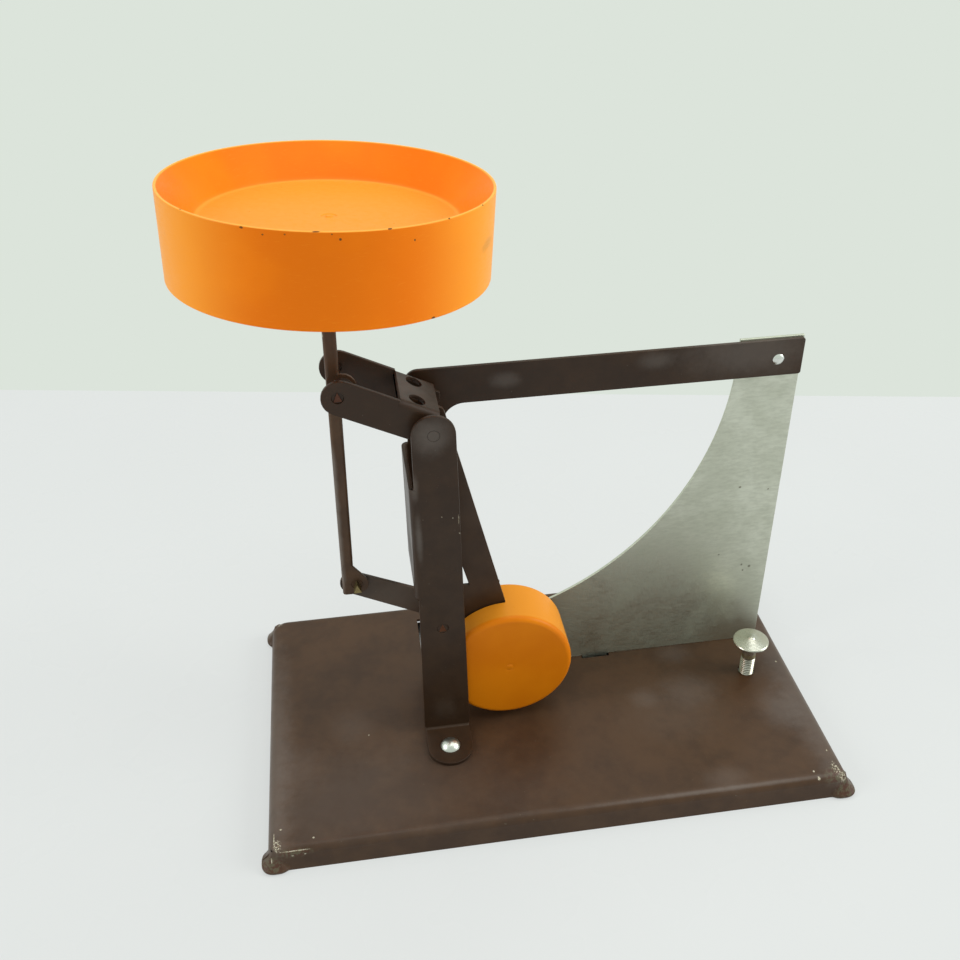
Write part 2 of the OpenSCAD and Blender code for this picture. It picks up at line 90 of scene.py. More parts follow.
# Places that several pieces share, in mm, taken from the frame; the two leans are in degrees
layout = {"mainPivot": knifeEdge("main_knife"), "beamTip": knifeEdge("beam_knife"),
          "disc": (boxOf("weight_front")[2].x, boxOf("weight_front")[2].z),
          "discFront": boxOf("disc_cover")[0].y, "plateBack": boxOf("scale_plate")[1].y,
          "screw": boxOf("levelling_screw")[2].xy, "stemLean": 1.4, "panLean": (-3.0, 3.7, 0)}
layout["panRim"] = (layout["beamTip"][0] + panFrom["tip"], boxOf("stem_channel")[0].y + panFrom["stem"],
                    layout["mainPivot"][1] + panFrom["pivot"])
footX, footZ = knifeEdge("stem_knife")
baseLow, baseHigh = boxOf("base_tray")[:2]
layout["base"] = (baseLow.x + baseRim["left"], baseHigh.x - baseRim["right"],
                  baseLow.y + baseRim["front"], baseHigh.y - baseRim["rear"], baseRim["top"])
layout["ears"] = (baseLow.x, baseHigh.x, baseLow.y, baseHigh.y + baseRim["rearEars"])


# Selecting and finishing, as by hand
# vertices nearer than weldGap, in metres, are merged; faces within flatAngle, in degrees, are one plane
weldGap, flatAngle = 0.000002, 0.5


def goTo(mode):
    if bpy.context.object and bpy.context.object.mode != mode:
        bpy.ops.object.mode_set(mode=mode)


def selectNone():
    goTo("OBJECT")
    bpy.ops.object.select_all(action="DESELECT")


def selectOnly(piece):
    selectNone()
    piece.select_set(True)
    bpy.context.view_layer.objects.active = piece


def selectAll():
    bpy.ops.mesh.select_all(action="SELECT")


def applyPlace():
    bpy.ops.object.transform_apply(location=True, rotation=True, scale=True)


def pick(piece, kind, test):
    # selects the faces whose middle and normal, or the edges whose two ends, pass the test
    goTo("OBJECT")
    mesh = piece.data
    for group in (mesh.vertices, mesh.edges, mesh.polygons):
        group.foreach_set("select", [False] * len(group))
    if kind == "FACE":
        for face in mesh.polygons:
            face.select = bool(test(face.center, face.normal))
    else:
        for edge in mesh.edges:
            ends = [mesh.vertices[i].co for i in edge.vertices]
            edge.select = bool(test(ends[0], ends[1]))
    bpy.context.tool_settings.mesh_select_mode = (False, kind == "EDGE", kind == "FACE")
    bpy.ops.object.mode_set(mode="EDIT")


def modify(piece, kind, **settings):
    selectOnly(piece)
    modifier = piece.modifiers.new(kind.title(), kind)
    for key, value in settings.items():
        setattr(modifier, key, value)
    bpy.ops.object.modifier_apply(modifier=modifier.name)


def softenEdges(piece, width, angle=35, segments=2, stray=0.45):
    # rounds the sharp edges, and draws back a corner that the bevel throws off the piece
    # by more than the stray share of its width
    before = BVHTree.FromPolygons([vertex.co.copy() for vertex in piece.data.vertices],
                                  [face.vertices[:] for face in piece.data.polygons])
    modify(piece, "BEVEL", width=width * mm, segments=segments, limit_method="ANGLE",
           angle_limit=radians(angle), use_clamp_overlap=False, harden_normals=False)
    for vertex in piece.data.vertices:
        spot, normal, face, away = before.find_nearest(vertex.co)
        if away > stray * width * mm:
            vertex.co = spot


def settle(piece, body, nodes=(), angle=32):
    # the finished piece: place kept in its mesh, smooth, riding on its body
    selectOnly(piece)
    applyPlace()
    bpy.ops.object.shade_smooth_by_angle(angle=radians(angle))
    modify(piece, "WEIGHTED_NORMAL", keep_sharp=True)
    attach(piece, body)
    beyond = 0.0
    if nodes:
        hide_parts(*nodes)
        low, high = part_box(nodes[0])
        for axis in range(3):
            spread = [vertex.co[axis] for vertex in piece.data.vertices]
            beyond = max(beyond, low[axis] - min(spread), max(spread) - high[axis])
    print("piece ready:", piece.name, len(piece.data.polygons), "faces, beyond its solid by",
          round(beyond / mm, 3), "mm")


def place(piece, turn, to):
    # turns a piece about the origin, in degrees, then moves it, in mm
    selectOnly(piece)
    turning = Euler([radians(a) for a in turn], "XYZ").to_matrix().to_4x4()
    piece.matrix_world = Matrix.Translation(Vector(to) * mm) @ turning @ piece.matrix_world
    applyPlace()


def turned(name, profile, steps=96):
    # a vertex is drawn out along the profile (radius, height) in mm, and spun round Z
    selectNone()
    bpy.ops.mesh.primitive_plane_add(size=0.001, location=(0, 0, 0))
    piece = bpy.context.object
    piece.name = name
    bpy.context.tool_settings.mesh_select_mode = (True, False, False)
    bpy.ops.object.mode_set(mode="EDIT")
    selectAll()
    bpy.ops.mesh.merge(type="CENTER")
    bpy.ops.transform.translate(value=(profile[0][0] * mm, 0, profile[0][1] * mm))
    for (r0, z0), (r1, z1) in zip(profile, profile[1:]):
        step = ((r1 - r0) * mm, 0, (z1 - z0) * mm)
        bpy.ops.mesh.extrude_vertices_move(TRANSFORM_OT_translate={"value": step})
    selectAll()
    bpy.ops.mesh.spin(steps=steps, angle=2 * pi, center=(0, 0, 0), axis=(0, 0, 1))
    selectAll()
    bpy.ops.mesh.remove_doubles(threshold=weldGap)
    bpy.ops.mesh.normals_make_consistent(inside=False)
    goTo("OBJECT")
    return piece


def block(name, low, high):
    # a cube drawn to two corners, in mm
    selectNone()
    middle = [(a + b) / 2 * mm for a, b in zip(low, high)]
    bpy.ops.mesh.primitive_cube_add(size=1, location=middle)
    piece = bpy.context.object
    piece.name = name
    piece.scale = [(b - a) * mm for a, b in zip(low, high)]
    applyPlace()
    return piece


def cutPlane(spot, normal, **settings):
    # cuts every face along a plane, in edit mode
    selectAll()
    bpy.ops.mesh.bisect(plane_co=spot, plane_no=normal, **settings)


def cutAway(piece, cutter):
    modify(piece, "BOOLEAN", object=cutter, operation="DIFFERENCE", solver="EXACT")
    bpy.data.objects.remove(cutter)


def softCopy(node, name, width):
    # the sheet metal keeps the frame's shape: a merged copy with its sharp edges eased
    selectOnly(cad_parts[node])
    bpy.ops.object.duplicate()
    piece = bpy.context.object
    piece.name = name
    piece.parent = None
    for key in list(piece.keys()):
        del piece[key]
    bpy.ops.object.mode_set(mode="EDIT")
    selectAll()
    bpy.ops.mesh.remove_doubles(threshold=weldGap)
    selectAll()
    bpy.ops.mesh.dissolve_limited(angle_limit=radians(flatAngle))
    goTo("OBJECT")
    softenEdges(piece, width)
    return piece


def arcPoints(centre, radius, start, end, count):
    angles = [radians(start + (end - start) * i / count) for i in range(count + 1)]
    return [(centre[0] + radius * cos(a), centre[1] + radius * sin(a)) for a in angles]


# Node trees
# the finishes made so far, and the tree whose nodes are being drawn
finishes, tree = {}, None


def linear(red, green, blue):
    # a picture's colour, 0 to 255, as Blender's
    return tuple(c / 12.92 if c <= 0.04045 else ((c + 0.055) / 1.055) ** 2.4
                 for c in (v / 255 for v in (red, green, blue))) + (1,)


def newMaterial(name):
    global tree
    material = finishes[name] = bpy.data.materials.new(name)
    material.use_nodes = True
    tree = material.node_tree
    return tree.nodes["Principled BSDF"]


def put(kind, inputs=None, **settings):
    # adds a node: an input is a number, a colour or another node's socket
    node = tree.nodes.new("ShaderNode" + kind)
    for key, value in settings.items():
        setattr(node, key, value)
    for key, value in (inputs or {}).items():
        if isinstance(value, bpy.types.NodeSocket):
            tree.links.new(value, node.inputs[key])
        else:
            node.inputs[key].default_value = value
    return node


def where(centre=(0, 0, 0), turn=(0, 0, 0), stretch=(1, 1, 1)):
    # Object coordinates, in mm, from a centre
    spot = put("TexCoord").outputs["Object"]
    moved = put("VectorMath", {0: spot, 1: tuple(c * mm for c in centre)}, operation="SUBTRACT").outputs[0]
    return put("Mapping", {"Vector": moved, "Rotation": tuple(radians(a) for a in turn),
                           "Scale": tuple(1000 * s for s in stretch)}).outputs[0]


def noise(spot, scale, detail=3.0, rough=0.55, warp=0.0):
    return put("TexNoise", {"Vector": spot, "Scale": scale, "Detail": detail, "Roughness": rough,
                            "Distortion": warp}).outputs["Fac"]


def times(first, second):
    return sums("MULTIPLY", first, second)


def sums(kind, first, second=0.0, third=None):
    inputs = {0: first, 1: second}
    if third is not None:
        inputs[2] = third
    return put("Math", inputs, operation=kind).outputs[0]


def fitRange(value, low, high, toLow=0.0, toHigh=1.0, kind="SMOOTHSTEP"):
    return put("MapRange", {"Value": value, "From Min": low, "From Max": high, "To Min": toLow,
                            "To Max": toHigh}, interpolation_type=kind).outputs[0]


def blendColour(share, first, second):
    node = put("Mix", data_type="RGBA", blend_type="MIX")
    for index, value in ((0, share), (6, first), (7, second)):
        if isinstance(value, bpy.types.NodeSocket):
            tree.links.new(value, node.inputs[index])
        else:
            node.inputs[index].default_value = value
    return node.outputs[2]


def axisOf(spot, name):
    return put("SeparateXYZ", {0: spot}).outputs[name]


def radiusOf(spot):
    flat = put("VectorMath", {0: spot, 1: (1, 1, 0)}, operation="MULTIPLY").outputs[0]
    return put("VectorMath", {0: flat}, operation="LENGTH").outputs["Value"]


def relief(height, strength, depth, under=None):
    # depth in mm; a negative one sinks
    inputs = {"Height": height, "Strength": strength, "Distance": depth * mm}
    if under is not None:
        inputs["Normal"] = under
    return put("Bump", inputs).outputs[0]


def feed(shader, **sockets):
    names = {"colour": "Base Color", "rough": "Roughness", "metal": "Metallic", "normal": "Normal"}
    for key, value in sockets.items():
        if isinstance(value, bpy.types.NodeSocket):
            tree.links.new(value, shader.inputs[names[key]])
        else:
            shader.inputs[names[key]].default_value = value


def marks(spot, places, raggedness=0.35, grain=1.3, soft=0.25):
    # ragged spots: each is a place and three half sizes, in mm, and the answer is 1 inside any of them
    ragged = sums("MULTIPLY_ADD", noise(spot, grain, 4, 0.7), raggedness * 2, -raggedness)
    total = None
    for x, y, z, rx, ry, rz in places:
        away = put("VectorMath", {0: spot, 1: (x, y, z)}, operation="SUBTRACT").outputs[0]
        scaled = put("VectorMath", {0: away, 1: (rx, ry, rz)}, operation="DIVIDE").outputs[0]
        length = put("VectorMath", {0: scaled}, operation="LENGTH").outputs["Value"]
        reach = sums("ADD", length, ragged)
        inside = fitRange(reach, 1 + soft, 1 - soft)
        total = inside if total is None else sums("MAXIMUM", total, inside)
    return total


# Finishes
enamel = {"dark": (0.040, 0.0205, 0.0105, 1), "warm": (0.058, 0.030, 0.0145, 1), "specular": 0.26,
          "rough": (0.33, 0.5), "bare": (0.56, 0.53, 0.42, 1), "bareRough": 0.1, "bareMetal": 0.4,
          "rust": (0.2, 0.15, 0.09, 1), "dust": (0.17, 0.15, 0.115, 1), "dustShare": 0.35,
          "sheenVeil": (0.18, 0.158, 0.142, 1), "olive": (0.115, 0.108, 0.065, 1),
          "brown": (0.075, 0.028, 0.018, 1), "agedShare": 0.55}


def dimmed(colour, share):
    return tuple(c * share for c in colour[:3]) + (1,)


def enamelFinish(name, seed=0.0, paintedLightLevel=1.0, chips=(), worn=(), sheenAndHaze=(), aged=(), bareShare=0.9):
    # stove enamel: mottled brown, orange peel, specks of dust, pale veils that are mostly a painted sheen,
    # dulled places, chips, corners worn to steel; paintedLightLevel lightens or darkens it all, a painted
    # light and shade
    shader = newMaterial(name)
    spot = where((seed, 0, 0))
    here = where()
    cloud = noise(spot, 0.035, 4, 0.6)
    blot = noise(spot, 0.16, 4, 0.62)
    # paintedLightLevel lightens or darkens the whole paint: a painted light and shade
    dark, warm = (dimmed(enamel[tone], paintedLightLevel) for tone in ("dark", "warm"))
    paint = blendColour(fitRange(sums("ADD", cloud, times(blot, 0.5)), 0.55, 0.95), dark, warm)
    dust = fitRange(noise(spot, 0.9, 2, 0.5), 0.72, 0.80, 0, enamel["dustShare"])
    paint = blendColour(dust, paint, enamel["dust"])
    low, high = enamel["rough"]
    gloss = fitRange(noise(spot, 0.05, 5, 0.65), 0.35, 0.68, low, high, "LINEAR")
    peel = noise(spot, 1.6, 2, 0.5)
    normal = relief(peel, 0.35, 0.05)
    normal = relief(noise(spot, 0.11, 3, 0.5), 0.5, 0.16, normal)
    metal = 0.0
    # pale veils, mostly a painted sheen standing in for light on the paint
    for share, places in sheenAndHaze:
        sheenVeil = times(marks(here, places, 0.5, 0.2, 0.8), share)
        paint = blendColour(sheenVeil, paint, enamel["sheenVeil"])
    if aged:
        patch = blendColour(fitRange(noise(spot, 0.7, 4, 0.6), 0.44, 0.56), enamel["brown"], enamel["olive"])
        dull = times(marks(here, aged, 0.9, 0.8, 0.5), enamel["agedShare"])
        paint = blendColour(dull, paint, patch)
    if chips:
        bare = marks(here, chips, 0.45, 2.0, 0.2)
        if worn:
            broken = fitRange(noise(spot, 1.25, 3, 0.6), 0.45, 0.56)
            rubbed = times(marks(here, worn, 1.0, 1.2, 0.25), broken)
            bare = sums("MAXIMUM", bare, rubbed)
        bare = times(bare, bareShare)
        steel = blendColour(fitRange(noise(spot, 2.2, 3), 0.42, 0.62), enamel["bare"], enamel["rust"])
        paint = blendColour(bare, paint, steel)
        gloss = sums("ADD", gloss, times(bare, enamel["bareRough"]))
        normal = relief(bare, 0.5, -0.12, normal)
        metal = times(bare, enamel["bareMetal"])
    feed(shader, colour=paint, rough=gloss, normal=normal, metal=metal)
    shader.inputs["Specular IOR Level"].default_value = enamel["specular"]


# tones of the pan, and the disc's darker copy of the same plastic, a painted shade
# the outside of the pan is painted lighter and yellower to its left and right, a painted side light, from
# sideLightFrom to sideLightTo
plastic = {"pan": {"body": (0.86, 0.203, 0.0008, 1), "deep": (0.80, 0.172, 0.0006, 1),
                   "paler": (0.90, 0.298, 0.024, 1)},
           "disc": {"body": (0.68, 0.198, 0.003, 1), "deep": (0.62, 0.165, 0.002, 1),
                    "paler": (0.71, 0.262, 0.018, 1)},
           "rim": (0.93, 0.40, 0.06, 1), "rimBand": (0.25, 0.1), "outside": (49.9, 50.3),
           "sides": (0.90, 0.345, 0.02, 1), "sideLightFrom": 18, "sideLightTo": 50, "sideLightShare": 0.85,
           "grime": (0.30, 0.16, 0.02, 1), "grimeShare": 0.3, "nick": (0.16, 0.06, 0.012, 1), "nickRough": 0.2,
           "specular": 0.12, "rough": 0.33}


def plasticFinish(name, paintedLightLevel, centre, turn, palerAt, nicks=(), smudges=(), rimHeight=None):
    # moulded orange plastic: flow variation, fine scuffs, paler where things rub, nicks at the edges; on the
    # disc's round side the paler tone is partly a painted light
    # palerAt: the heights where the paler tone starts and is full, then the radii where it is full and ends
    shader = newMaterial(name)
    spot = where(centre)
    own = where(centre, turn)
    # paintedLightLevel names the tones: pan for the pan's own plastic, disc for its darker copy, a painted
    # shade
    tones = plastic[paintedLightLevel]
    body = blendColour(fitRange(noise(spot, 0.03, 3, 0.5), 0.38, 0.64), tones["deep"], tones["body"])
    scuff = noise(where(centre, turn, (1, 1, 6)), 0.35, 5, 0.7)
    body = blendColour(fitRange(scuff, 0.56, 0.72, 0, 0.25), body, tones["paler"])
    # paler by height and radius: on the pan's floor, and on the disc's round side, where it is partly a
    # painted light
    palerStart, palerFull, fullRadius, endRadius = palerAt
    paler = fitRange(axisOf(own, "Z"), palerStart, palerFull)
    radius = radiusOf(own)
    within = fitRange(radius, endRadius, fullRadius)
    body = blendColour(times(paler, within), body, tones["paler"])
    if rimHeight is not None:
        below, above = plastic["rimBand"]
        band = fitRange(axisOf(own, "Z"), rimHeight - below, rimHeight + above)
        body = blendColour(band, body, plastic["rim"])
        # a painted side light: the pan's outside lighter and yellower towards its left and right
        sideLight = fitRange(sums("ABSOLUTE", axisOf(own, "X")), plastic["sideLightFrom"],
                          plastic["sideLightTo"], 0, plastic["sideLightShare"])
        sideLight = times(sideLight, fitRange(radius, *plastic["outside"]))
        sideLight = times(sideLight, fitRange(band, 1.0, 0.0))
        body = blendColour(sideLight, body, plastic["sides"])
    gloss = fitRange(scuff, 0.3, 0.75, plastic["rough"] - 0.07, plastic["rough"] + 0.16, "LINEAR")
    normal = relief(noise(spot, 0.5, 4, 0.55), 0.25, 0.05)
    if smudges:
        grime = times(marks(spot, smudges, 0.5, 0.5, 0.6), plastic["grimeShare"])
        body = blendColour(grime, body, plastic["grime"])
    if nicks:
        cut = marks(spot, nicks, 0.3, 1.6, 0.25)
        body = blendColour(cut, body, plastic["nick"])
        gloss = sums("ADD", gloss, times(cut, plastic["nickRough"]))
        normal = relief(cut, 0.6, -0.25, normal)
    feed(shader, colour=body, rough=gloss, normal=normal)
    shader.inputs["Specular IOR Level"].default_value = plastic["specular"]


metalSet = {"groove": (0.05, 0.04, 0.025, 1), "grooveShare": 0.85, "grooveSoft": 0.3, "stainShare": 0.7,
            "stainRough": 0.2, "grainShade": 0.72, "grainShare": 0.3}


def metalFinish(name, colour, other, rough, grainStretch=(1, 1, 1), grainTurn=(0, 0, 0), centre=(0, 0, 0),
                grain=1.2, scratch=0.25, stains=(), stain=(0.12, 0.1, 0.07, 1), rings=0.0, grooves=None):
    # bare metal: brushed or turned grain, cloudy stains, fine scratches
    # grooves: the radii where the thread's roots are darkened fully and where that ends, and the height where
    # it stops
    shader = newMaterial(name)
    spot = where(centre)
    lines = noise(where(centre, grainTurn, grainStretch), grain, 4, 0.6)
    cloud = noise(spot, 0.045, 5, 0.62, 0.4)
    colour = blendColour(fitRange(cloud, 0.36, 0.66), colour, other)
    colour = blendColour(fitRange(lines, 0.35, 0.7, 0, metalSet["grainShare"]), colour,
                         dimmed(other, metalSet["grainShade"]))
    gloss = sums("ADD", fitRange(cloud, 0.3, 0.7, rough - 0.06, rough + 0.1, "LINEAR"),
                 fitRange(lines, 0.3, 0.7, -0.04, 0.08, "LINEAR"))
    if stains:
        dirty = marks(spot, stains, 0.5, 0.7, 0.5)
        colour = blendColour(times(dirty, metalSet["stainShare"]), colour, stain)
        gloss = sums("ADD", gloss, times(dirty, metalSet["stainRough"]))
    normal = relief(lines, scratch, 0.04)
    if rings:
        radius = radiusOf(spot)
        wave = sums("SINE", times(radius, rings))
        normal = relief(wave, 0.45, 0.045, normal)
        if grooves:
            # darker towards the thread's roots
            full, end, top = grooves
            below = fitRange(axisOf(spot, "Z"), top + metalSet["grooveSoft"], top - metalSet["grooveSoft"])
            within = times(fitRange(radius, end, full), below)
            colour = blendColour(times(within, metalSet["grooveShare"]), colour, metalSet["groove"])
    feed(shader, colour=colour, rough=gloss, normal=normal, metal=1.0)


# marks on the paint, each as x, y, z and three half sizes, in mm
baseChips = [(-107.7, -57.4, 9.6, 0.22, 2.6, 0.9), (-105.2, -53.4, 10, 0.5, 0.35, 0.4),
             (-100.0, -62.3, 8.4, 5.8, 0.24, 0.26), (-101.2, -62.8, 6.6, 0.5, 0.5, 0.22),
             (-96.6, -62.8, 6.8, 0.4, 0.5, 0.2), (-109.0, -63.0, 5.6, 0.22, 0.6, 2.3),
             (-93.2, -58.8, 10, 0.4, 0.4, 0.4), (101.3, -61.9, 9.4, 0.5, 0.9, 0.8),
             (100.3, -58.6, 10, 0.4, 0.45, 0.4), (109.6, -49.3, 9.9, 0.35, 0.4, 0.5),
             (108.5, 2, 9.9, 0.4, 0.4, 0.4), (-70, -12, 10, 0.3, 0.3, 0.4)]
baseWorn = [(-106.4, -60.2, 9.4, 1.5, 2.1, 1.4), (109.3, -58.2, 9.5, 1.5, 2.8, 1.2),
            (110.9, -61.5, 8.0, 1.4, 1.4, 2.0), (-106.5, 62.6, 9.2, 1.6, 1.4, 1.2)]
baseAged = [(-109.6, -63.6, 3.0, 4.6, 3.4, 3.6), (113.4, -63.2, 3.2, 5.0, 3.6, 4.2),
            (108.8, -60.5, 8.4, 4.6, 3.2, 2.4), (-110.6, 65.0, 3.0, 4.0, 3.4, 3.6),
            (114.0, 65.0, 3.0, 4.4, 3.4, 3.6), (-100.5, -63.0, 8.0, 6.0, 1.2, 1.8)]
postChips = [(-30.35, -13.8, 115.0, 0.2, 1, 2.0), (-30.2, -13.8, 109.0, 0.25, 1, 0.4),
             (-36.3, -13.8, 116.8, 0.2, 1, 0.3), (-32.4, -13.8, 115.9, 0.2, 1, 0.3)]
stemChips = [(-71.5, -0.5, 184, 0.3, 1, 1.0)]

# pale veils on the paint, mostly painted sheen and painted highlights: a share, then the places it lies on
# the base: painted sheen along its left and right edges and in pale patches on its top, and a painted
# highlight along the front edge's rounding
baseSheen = [(0.34, [(-109.2, -20, 10, 6.5, 54, 6), (113.2, -24, 10, 9.0, 46, 6)]),
            (0.15, [(66, -57, 10, 7, 5, 4), (46, -10, 10, 5, 4.5, 4), (66, -8, 10, 9, 8, 4),
                    (66, 14, 10, 6, 5, 4)]),
            (0.1, [(56, -18, 10, 18, 14, 4), (-76, -6, 10, 7, 8, 4), (-99, -24, 10, 7, 9, 4)]),
            (0.4, [(62, -61.0, 9.4, 46, 0.7, 0.7)]), (0.25, [(100, -25, 10, 7, 9, 4)]),
            (0.13, [(-66, -44, 10, 44, 20, 2.5)])]
# a painted highlight on the pillar's round top, and painted sheen down its left edge
postSheen = [(0.36, [(-38.9, -13.8, 150.6, 5.4, 2, 6.0), (-45.5, -13.8, 130, 1.2, 2, 4.2),
                    (-44.8, -13.8, 108, 1.0, 2, 8.0)])]
# painted sheen in spots on the arm, and broadly toward its right end
armSheen = [(0.26, [(47.9, 17.8, 154.6, 5.2, 2, 3.0), (-8.3, 17.8, 152.1, 4.6, 2, 2.6)]),
           (0.3, [(84, 17.8, 156, 20, 2, 9)])]
# painted sheen on the beam's web, which faces up
beamSheen = [(0.42, [(-45, 2.4, 168, 8, 9, 7)])]
# a painted highlight up the left edge of the stem, which leans
stemEdgeSheen = [(0.55, [(footX - 5.3 + 0.0244 * up, -0.5, footZ + up, 1.0, 2.2, 6.5) for up in range(4, 54, 8)])]
linkHaze = [(0.25, [(*boxOf("link_strap")[2], 26, 9, 12)])]

# marks on the aluminium plate
plateSpots = [(88.1, 19.3, 92.9, 0.5, 1, 0.4), (93.8, 19.3, 52.3, 0.4, 1, 0.5),
              (94.7, 19.3, 49.2, 0.4, 1, 0.4), (97.3, 19.3, 51.0, 0.6, 1, 0.6),
              (83.0, 19.3, 59.0, 0.4, 1, 0.35), (100.3, 19.3, 90.6, 0.3, 1, 0.3)]

# nicks and specks on the pan, from the middle of its rim
panNicks = [(-40.3, -29.8, 4.4, 0.6, 0.9, 0.28), (-23.6, -45.0, 3.4, 0.45, 0.9, 0.3),
            (-18.2, -47.6, 2.0, 0.25, 0.6, 0.2), (-12.4, -49.4, 2.3, 0.22, 0.6, 0.2),
            (-4.2, -50.9, 2.9, 1.1, 0.9, 0.16), (-0.2, -51, 2.0, 0.22, 0.6, 0.2),
            (1.9, -51.0, 0.5, 0.35, 0.8, 0.35), (21.8, -46.1, -3.0, 0.25, 0.6, 0.3),
            (15.2, -48.6, 1.5, 0.6, 0.9, 0.18), (32.1, -39.6, -0.1, 0.3, 0.6, 0.2),
            (43.3, -26.9, -1.5, 0.25, 0.5, 0.25), (40.1, 31.0, -4.2, 0.25, 0.3, 0.3),
            (-28.7, 35.3, -7.9, 0.3, 0.7, 0.25), (-16.4, 42.1, -11.5, 0.2, 0.6, 0.2),
            (26, -43.5, -27.6, 0.6, 0.9, 0.5)]
panSmudges = [(45, -22, -15, 3, 6, 1.6)]

# the same stove enamel on every part, each copy lightened or darkened by its paintedLightLevel: painted light
# and shade
enamelFinish("baseEnamel", 0.0, 1.08, baseChips, baseWorn, baseSheen, baseAged)
enamelFinish("pillarEnamel", 40.0, 0.7, postChips, sheenAndHaze=postSheen + armSheen, bareShare=0.5)
enamelFinish("beamEnamel", 80.0, 0.78, sheenAndHaze=beamSheen)
enamelFinish("armEnamel", 120.0, 0.98)
enamelFinish("stemEnamel", 160.0, 1.45, stemChips, sheenAndHaze=stemEdgeSheen)
enamelFinish("linkEnamel", 200.0, 0.95, sheenAndHaze=linkHaze)
plasticFinish("panPlastic", "pan", layout["panRim"], tuple(-a for a in layout["panLean"]),
              (-9, -10.9, 40.1, 40.9), panNicks, panSmudges, -0.12)
# the disc: the pan's plastic in a darker copy, a painted shade; its round side is paler, partly wear and
# partly a painted light
plasticFinish("discShadedPlastic", "disc", (layout["disc"][0], layout["discFront"], layout["disc"][1]),
              (90, 0, 0), (1.2, 2.8, 60, 61))
metalFinish("plateAluminium", (0.64, 0.66, 0.56, 1), (0.55, 0.57, 0.475, 1), 0.42,
            (0.3, 1, 1), (0, 8, 0), (0, 0, 0), 0.9, 0.22, plateSpots)
metalFinish("rivetAluminium", (0.76, 0.78, 0.74, 1), (0.6, 0.62, 0.58, 1), 0.26, grain=2.5)
metalFinish("knifePainted", (0.075, 0.045, 0.03, 1), (0.05, 0.03, 0.02, 1), 0.45)
metalFinish("knifeBrass", (0.34, 0.28, 0.13, 1), (0.2, 0.15, 0.07, 1), 0.4, (1, 0.1, 1))
metalFinish("knifeDark", (0.13, 0.062, 0.042, 1), (0.08, 0.035, 0.025, 1), 0.42)
metalFinish("knifeCopper", (0.21, 0.09, 0.045, 1), (0.12, 0.05, 0.028, 1), 0.44, (1, 0.1, 1))
metalFinish("weightSteel", (0.30, 0.30, 0.29, 1), (0.20, 0.19, 0.18, 1), 0.42)
metalFinish("bushSteel", (0.52, 0.51, 0.46, 1), (0.40, 0.38, 0.32, 1), 0.36)
metalFinish("screwSteel", (0.62, 0.62, 0.55, 1), (0.50, 0.47, 0.38, 1), 0.27, centre=(*layout["screw"], 0),
            stains=[(0, 0, 19.7, 4, 4, 1.3)], stain=(0.30, 0.24, 0.05, 1), rings=9.0,
            grooves=(2.62, 2.96, 19.0))


def handFinish():
    # red stoving paint on thin sheet, its tone varying at random; its rubbed tip is not marked
    shader = newMaterial("handEnamel")
    spot = where()
    tone = fitRange(noise(spot, 0.2, 4, 0.6), 0.35, 0.7)
    feed(shader, colour=blendColour(tone, (0.36, 0.018, 0.012, 1), (0.46, 0.032, 0.02, 1)),
         rough=fitRange(noise(spot, 0.6, 3), 0.3, 0.7, 0.3, 0.48, "LINEAR"),
         normal=relief(noise(spot, 1.4, 3), 0.3, 0.04))


handFinish()
print("finishes ready:", len(finishes))

finishOf = {"base_tray": "baseEnamel", "pillar_frame": "pillarEnamel", "foot_rivet": "rivetAluminium",
            "tongue_rivet": "rivetAluminium", "main_knife": "knifePainted", "lower_knife": "knifeCopper",
            "scale_plate": "plateAluminium", "plate_rivet": "rivetAluminium", "screw_bush": "bushSteel",
            "beam_yoke": "beamEnamel", "beam_knife": "knifeDark", "pendulum_arm": "armEnamel",
            "disc_cover": "discShadedPlastic", "weight_front": "weightSteel", "weight_back": "weightSteel",
            "weight_rivet": "rivetAluminium", "index_hand": "handEnamel", "stem_channel": "stemEnamel",
            "stem_knife": "knifeBrass", "pan_dish": "panPlastic", "link_strap": "linkEnamel",
            "levelling_screw": "screwSteel"}


def finish(piece, name):
    piece.data.materials.clear()
    piece.data.materials.append(finishes[name])


for nodeName, finishName in finishOf.items():
    finish(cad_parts[nodeName], finishName)


# The pan
panSet = {"rim": 51.0, "rimRound": 0.35, "skirtLow": 50.6, "skirt": 28.3, "depth": 11.1, "floor": 40.5,
          "mouth": 50.1, "lip": 0.2, "land": 0.15, "wall": 1.8, "underLip": 0.15, "fillet": 1.6,
          "filletSteps": 5, "boss": 9.5, "bossHeight": 14.0, "bossEdge": 0.6, "bossFillet": 1.2, "steps": 160,
          "soft": 0.18, "centreMark": ((2.6, 0), (2.3, -0.25), (1.2, -0.25), (0.9, 0.2), (0, 0.25)),
          "stem": (4.6, 4.5, 3.25, 6.0), "fit": 0.05, "socket": 40}


